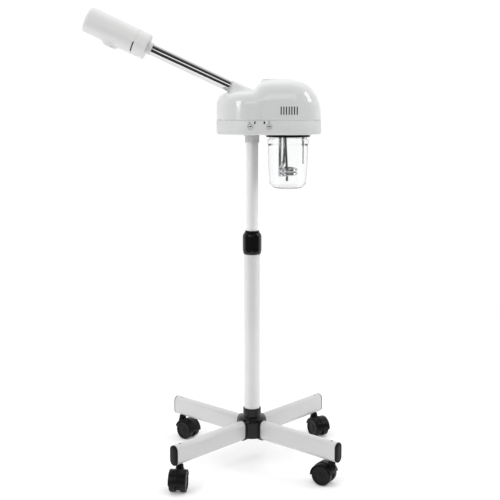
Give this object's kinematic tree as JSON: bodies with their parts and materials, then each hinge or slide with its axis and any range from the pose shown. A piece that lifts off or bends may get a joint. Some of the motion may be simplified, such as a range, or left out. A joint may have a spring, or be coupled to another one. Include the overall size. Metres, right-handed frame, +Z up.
{
  "type": "facial steamer",
  "caption": "Facial steamer on a height-adjustable rolling stand: glass water jar under a two-level head, chrome arm and turning nozzle, hub with legs on twin-wheel casters.",
  "frame": {"origin": "on the floor, in the middle of the whole object's footprint; the pole stands at x 0.0978, y 0.0134", "axes": "+Z up; -Y is the front, with the buttons; the arm and nozzle reach towards -X and the jar hangs on the +X side of the pole"},
  "size_m": [0.6259, 0.4561, 1.1396],
  "materials": {
    "white_head": "glossy moulded ABS, light grey-white",
    "white_nozzle": "glossy moulded plastic, near white",
    "painted_steel": "light grey-white gloss powder coat",
    "black_plastic": "satin black moulded plastic",
    "black_rubber": "black silicone rubber",
    "chrome": "bright chrome plate",
    "stainless": "polished stainless steel",
    "grey_metal": "dark grey metal",
    "glass": "clear borosilicate glass",
    "ceramic": "glazed ceramic insulator",
    "circuit_green": "green board laminate",
    "lamp_violet": "quartz lamp glass",
    "lamp_dark": "dark clear lens, unlit"
  },
  "bodies": {
    "base": {"hub": "black_plastic", "hub_bolt": "stainless", "lower_pole": "painted_steel", "pole_plug": "black_plastic", "clamp_collet": "black_plastic", "leg_front_left": "painted_steel", "leg_front_right": "painted_steel", "leg_back_right": "painted_steel", "leg_back_left": "painted_steel", "leg_cap_front_left": "black_plastic", "leg_cap_front_right": "black_plastic", "leg_cap_back_right": "black_plastic", "leg_cap_back_left": "black_plastic"},
    "lock_ring": {"clamp_ring": "black_plastic"},
    "mast": {"upper_pole": "painted_steel", "pole_guide": "black_plastic"},
    "head": {"pole_socket": "grey_metal", "lower_tray": "white_head", "upper_cover": "white_head", "top_cap": "white_head", "lamp_power": "lamp_dark", "lamp_ozone": "lamp_dark", "circuit_board": "circuit_green", "transformer": "grey_metal", "ozone_lamp": "lamp_violet", "power_inlet": "black_plastic", "fuse_cap": "black_plastic", "boiler_lid": "stainless", "heater_coil": "stainless", "dry_fire_sensor": "grey_metal", "level_probe": "ceramic", "jar_gasket": "black_rubber", "steam_hose": "black_rubber", "arm_bush": "black_plastic", "socket_trim": "chrome"},
    "button_power": {"button_power": "white_nozzle"},
    "button_ozone": {"button_ozone": "white_nozzle"},
    "jar_ring": {"jar_ring": "black_plastic"},
    "jar": {"jar": "glass"},
    "arm": {"arm_tube": "chrome", "neck_collar": "white_nozzle", "nozzle_rear": "white_nozzle"},
    "nozzle": {"nozzle_barrel": "white_nozzle", "nozzle_outlet": "white_nozzle"},
    "caster_front_left": {"caster_body_front_left": "black_plastic", "caster_axle_front_left": "stainless"},
    "wheel_front_left_left": {"caster_wheel_front_left_left": "black_plastic"},
    "wheel_front_left_right": {"caster_wheel_front_left_right": "black_plastic"},
    "caster_front_right": {"caster_body_front_right": "black_plastic", "caster_axle_front_right": "stainless"},
    "wheel_front_right_left": {"caster_wheel_front_right_left": "black_plastic"},
    "wheel_front_right_right": {"caster_wheel_front_right_right": "black_plastic"},
    "caster_back_right": {"caster_body_back_right": "black_plastic", "caster_axle_back_right": "stainless"},
    "wheel_back_right_left": {"caster_wheel_back_right_left": "black_plastic"},
    "wheel_back_right_right": {"caster_wheel_back_right_right": "black_plastic"},
    "caster_back_left": {"caster_body_back_left": "black_plastic", "caster_axle_back_left": "stainless"},
    "wheel_back_left_left": {"caster_wheel_back_left_left": "black_plastic"},
    "wheel_back_left_right": {"caster_wheel_back_left_right": "black_plastic"}
  },
  "joints": [
    {"name": "clamp_turn", "type": "hinge", "parent": "base", "child": "lock_ring", "pos_m": [0.0978, 0.0134, 0.565], "axis": [0, 0, 1], "range_deg": [0, 90]},
    {"name": "pole_slide", "type": "slide", "parent": "base", "child": "mast", "axis": [0, 0, 1], "range_m": [-0.2, 0.14]},
    {"name": "head_swivel", "type": "hinge", "parent": "mast", "child": "head", "pos_m": [0.0978, 0.0134, 0.85], "axis": [0, 0, 1], "continuous": true},
    {"name": "arm_turn", "type": "hinge", "parent": "head", "child": "arm", "pos_m": [0.0429, 0.0134, 0.9522], "axis": [-0.9059, 0, 0.4236], "range_deg": [-90, 90]},
    {"name": "nozzle_turn", "type": "hinge", "parent": "arm", "child": "nozzle", "pos_m": [0.0429, 0.0134, 0.9522], "axis": [-0.9059, 0, 0.4236], "continuous": true},
    {"name": "button_power_press", "type": "slide", "parent": "head", "child": "button_power", "axis": [0, 1, 0], "range_m": [0, 0.0015], "stiffness_N_per_m": 400, "springref_m": -0.001},
    {"name": "button_ozone_press", "type": "slide", "parent": "head", "child": "button_ozone", "axis": [0, 1, 0], "range_m": [0, 0.0015], "stiffness_N_per_m": 400, "springref_m": -0.001},
    {"name": "jar_ring_turn", "type": "hinge", "parent": "head", "child": "jar_ring", "pos_m": [0.1862, 0.0134, 0.832], "axis": [0, 0, 1], "range_deg": [0, 40]},
    {"name": "jar_drop", "type": "slide", "parent": "jar_ring", "child": "jar", "axis": [0, 0, -1], "range_m": [0, 0.15]},
    {"name": "caster_front_left_swivel", "type": "hinge", "parent": "base", "child": "caster_front_left", "pos_m": [-0.07517, -0.17803, 0.06], "axis": [0, 0, 1], "continuous": true},
    {"name": "wheel_front_left_left_roll", "type": "hinge", "parent": "caster_front_left", "child": "wheel_front_left_left", "pos_m": [-0.07726, -0.19792, 0.025], "axis": [0.9945, -0.1045, 0], "continuous": true},
    {"name": "wheel_front_left_right_roll", "type": "hinge", "parent": "caster_front_left", "child": "wheel_front_left_right", "pos_m": [-0.07726, -0.19792, 0.025], "axis": [0.9945, -0.1045, 0], "continuous": true},
    {"name": "caster_front_right_swivel", "type": "hinge", "parent": "base", "child": "caster_front_right", "pos_m": [0.28923, -0.15957, 0.06], "axis": [0, 0, 1], "continuous": true},
    {"name": "wheel_front_right_left_roll", "type": "hinge", "parent": "caster_front_right", "child": "wheel_front_right_left", "pos_m": [0.27191, -0.14957, 0.025], "axis": [-0.5, -0.866, 0], "continuous": true},
    {"name": "wheel_front_right_right_roll", "type": "hinge", "parent": "caster_front_right", "child": "wheel_front_right_right", "pos_m": [0.27191, -0.14957, 0.025], "axis": [-0.5, -0.866, 0], "continuous": true},
    {"name": "caster_back_right_swivel", "type": "hinge", "parent": "base", "child": "caster_back_right", "pos_m": [0.27077, 0.20483, 0.06], "axis": [0, 0, 1], "continuous": true},
    {"name": "wheel_back_right_left_roll", "type": "hinge", "parent": "caster_back_right", "child": "wheel_back_right_left", "pos_m": [0.28077, 0.18751, 0.025], "axis": [0.866, 0.5, 0], "continuous": true},
    {"name": "wheel_back_right_right_roll", "type": "hinge", "parent": "caster_back_right", "child": "wheel_back_right_right", "pos_m": [0.28077, 0.18751, 0.025], "axis": [0.866, 0.5, 0], "continuous": true},
    {"name": "caster_back_left_swivel", "type": "hinge", "parent": "base", "child": "caster_back_left", "pos_m": [-0.09363, 0.18637, 0.06], "axis": [0, 0, 1], "continuous": true},
    {"name": "wheel_back_left_left_roll", "type": "hinge", "parent": "caster_back_left", "child": "wheel_back_left_left", "pos_m": [-0.07831, 0.17351, 0.025], "axis": [0.6428, 0.766, 0], "continuous": true},
    {"name": "wheel_back_left_right_roll", "type": "hinge", "parent": "caster_back_left", "child": "wheel_back_left_right", "pos_m": [-0.07831, 0.17351, 0.025], "axis": [0.6428, 0.766, 0], "continuous": true}
  ]
}
